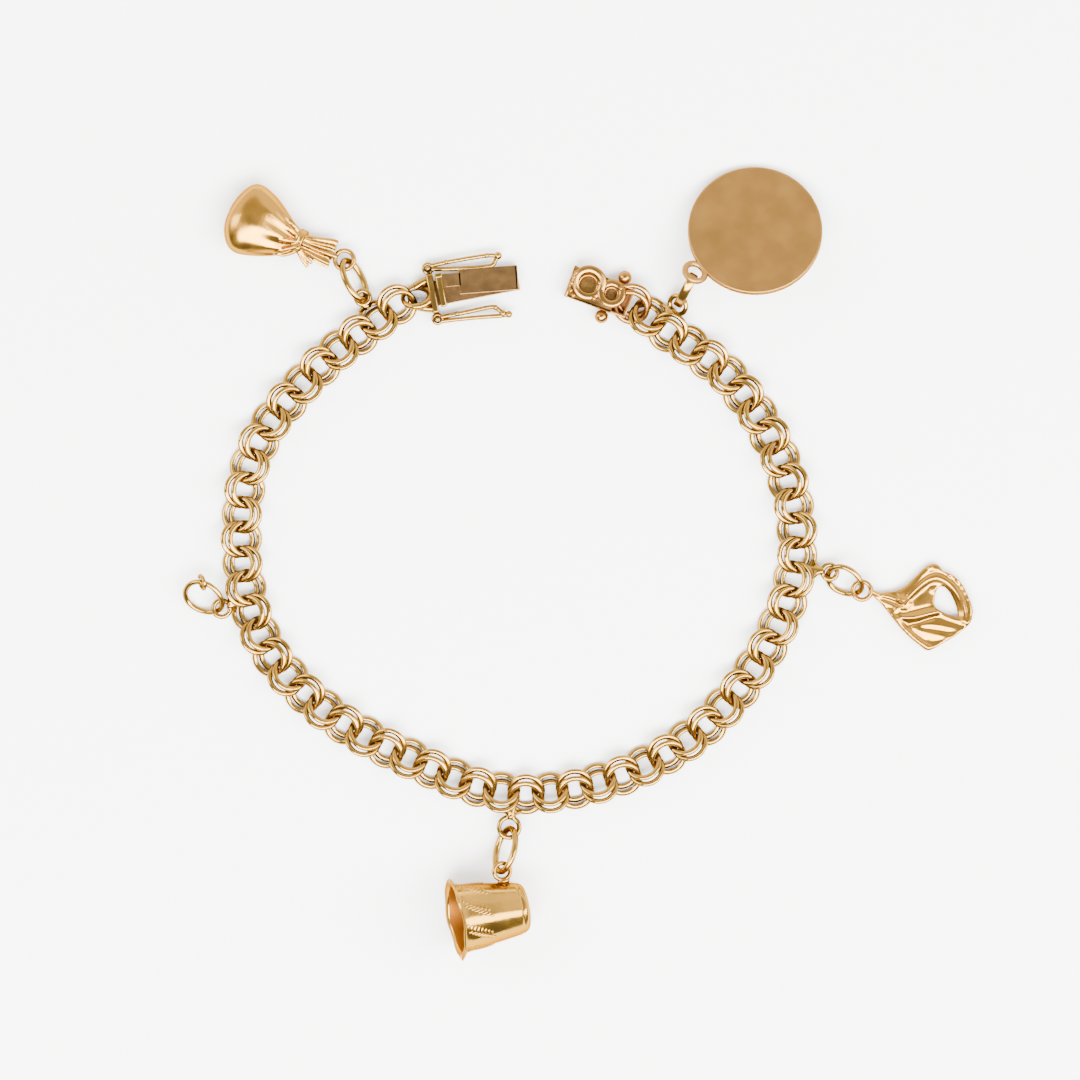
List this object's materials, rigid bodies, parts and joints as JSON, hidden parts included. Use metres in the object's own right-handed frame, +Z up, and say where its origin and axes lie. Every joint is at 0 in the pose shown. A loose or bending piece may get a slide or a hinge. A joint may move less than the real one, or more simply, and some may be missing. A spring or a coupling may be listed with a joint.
{
  "type": "charm bracelet",
  "caption": "Open charm bracelet of soldered double-ring links with a box clasp, two side catches, and a money bag, disc, thimble and draped charm on small eyes.",
  "frame": {"origin": "on the surface, under the middle of the bracelet's bounding box", "axes": "+X to the right and +Y to the top of the plan view, with the clasp at the top (+Y) and the thimble at the bottom; +Z up, away from the surface it lies on"},
  "size_m": [0.0916, 0.0912, 0.009],
  "materials": {
    "polished_gold": "polished 14 ct yellow gold",
    "satin_gold": "satin 14 ct yellow gold"
  },
  "bodies": {
    "bracelet": {"chain_link_01": "polished_gold", "chain_link_02": "polished_gold", "chain_link_03": "polished_gold", "chain_link_04": "polished_gold", "chain_link_05": "polished_gold", "chain_link_06": "polished_gold", "chain_link_07": "polished_gold", "chain_link_08": "polished_gold", "chain_link_09": "polished_gold", "chain_link_10": "polished_gold", "chain_link_11": "polished_gold", "chain_link_12": "polished_gold", "chain_link_13": "polished_gold", "chain_link_14": "polished_gold", "chain_link_15": "polished_gold", "chain_link_16": "polished_gold", "chain_link_17": "polished_gold", "chain_link_18": "polished_gold", "chain_link_19": "polished_gold", "chain_link_20": "polished_gold", "chain_link_21": "polished_gold", "chain_link_22": "polished_gold", "chain_link_23": "polished_gold", "chain_link_24": "polished_gold", "chain_link_25": "polished_gold", "chain_link_26": "polished_gold", "chain_link_27": "polished_gold", "chain_link_28": "polished_gold", "chain_link_29": "polished_gold", "bag_jump_link": "polished_gold", "money_bag": "polished_gold", "disc_strip_link": "polished_gold", "disc": "satin_gold", "thimble_jump_link": "polished_gold", "thimble": "polished_gold", "drape_jump_link": "polished_gold", "draped_charm": "polished_gold", "empty_jump_link": "polished_gold", "broken_eye": "polished_gold", "clasp_tongue": "polished_gold", "clasp_box": "polished_gold"},
    "outer_catch_body": {"outer_catch": "polished_gold"},
    "inner_catch_body": {"inner_catch": "polished_gold"}
  },
  "joints": [
    {"name": "outer_catch_hinge", "type": "hinge", "parent": "bracelet", "child": "outer_catch_body", "pos_m": [-0.01746, 0.03378, 0.00122], "axis": [0, 0, 1], "range_deg": [0, 60]},
    {"name": "inner_catch_hinge", "type": "hinge", "parent": "bracelet", "child": "inner_catch_body", "pos_m": [-0.01632, 0.02791, 0.00122], "axis": [0, 0, 1], "range_deg": [-60, 0]}
  ]
}
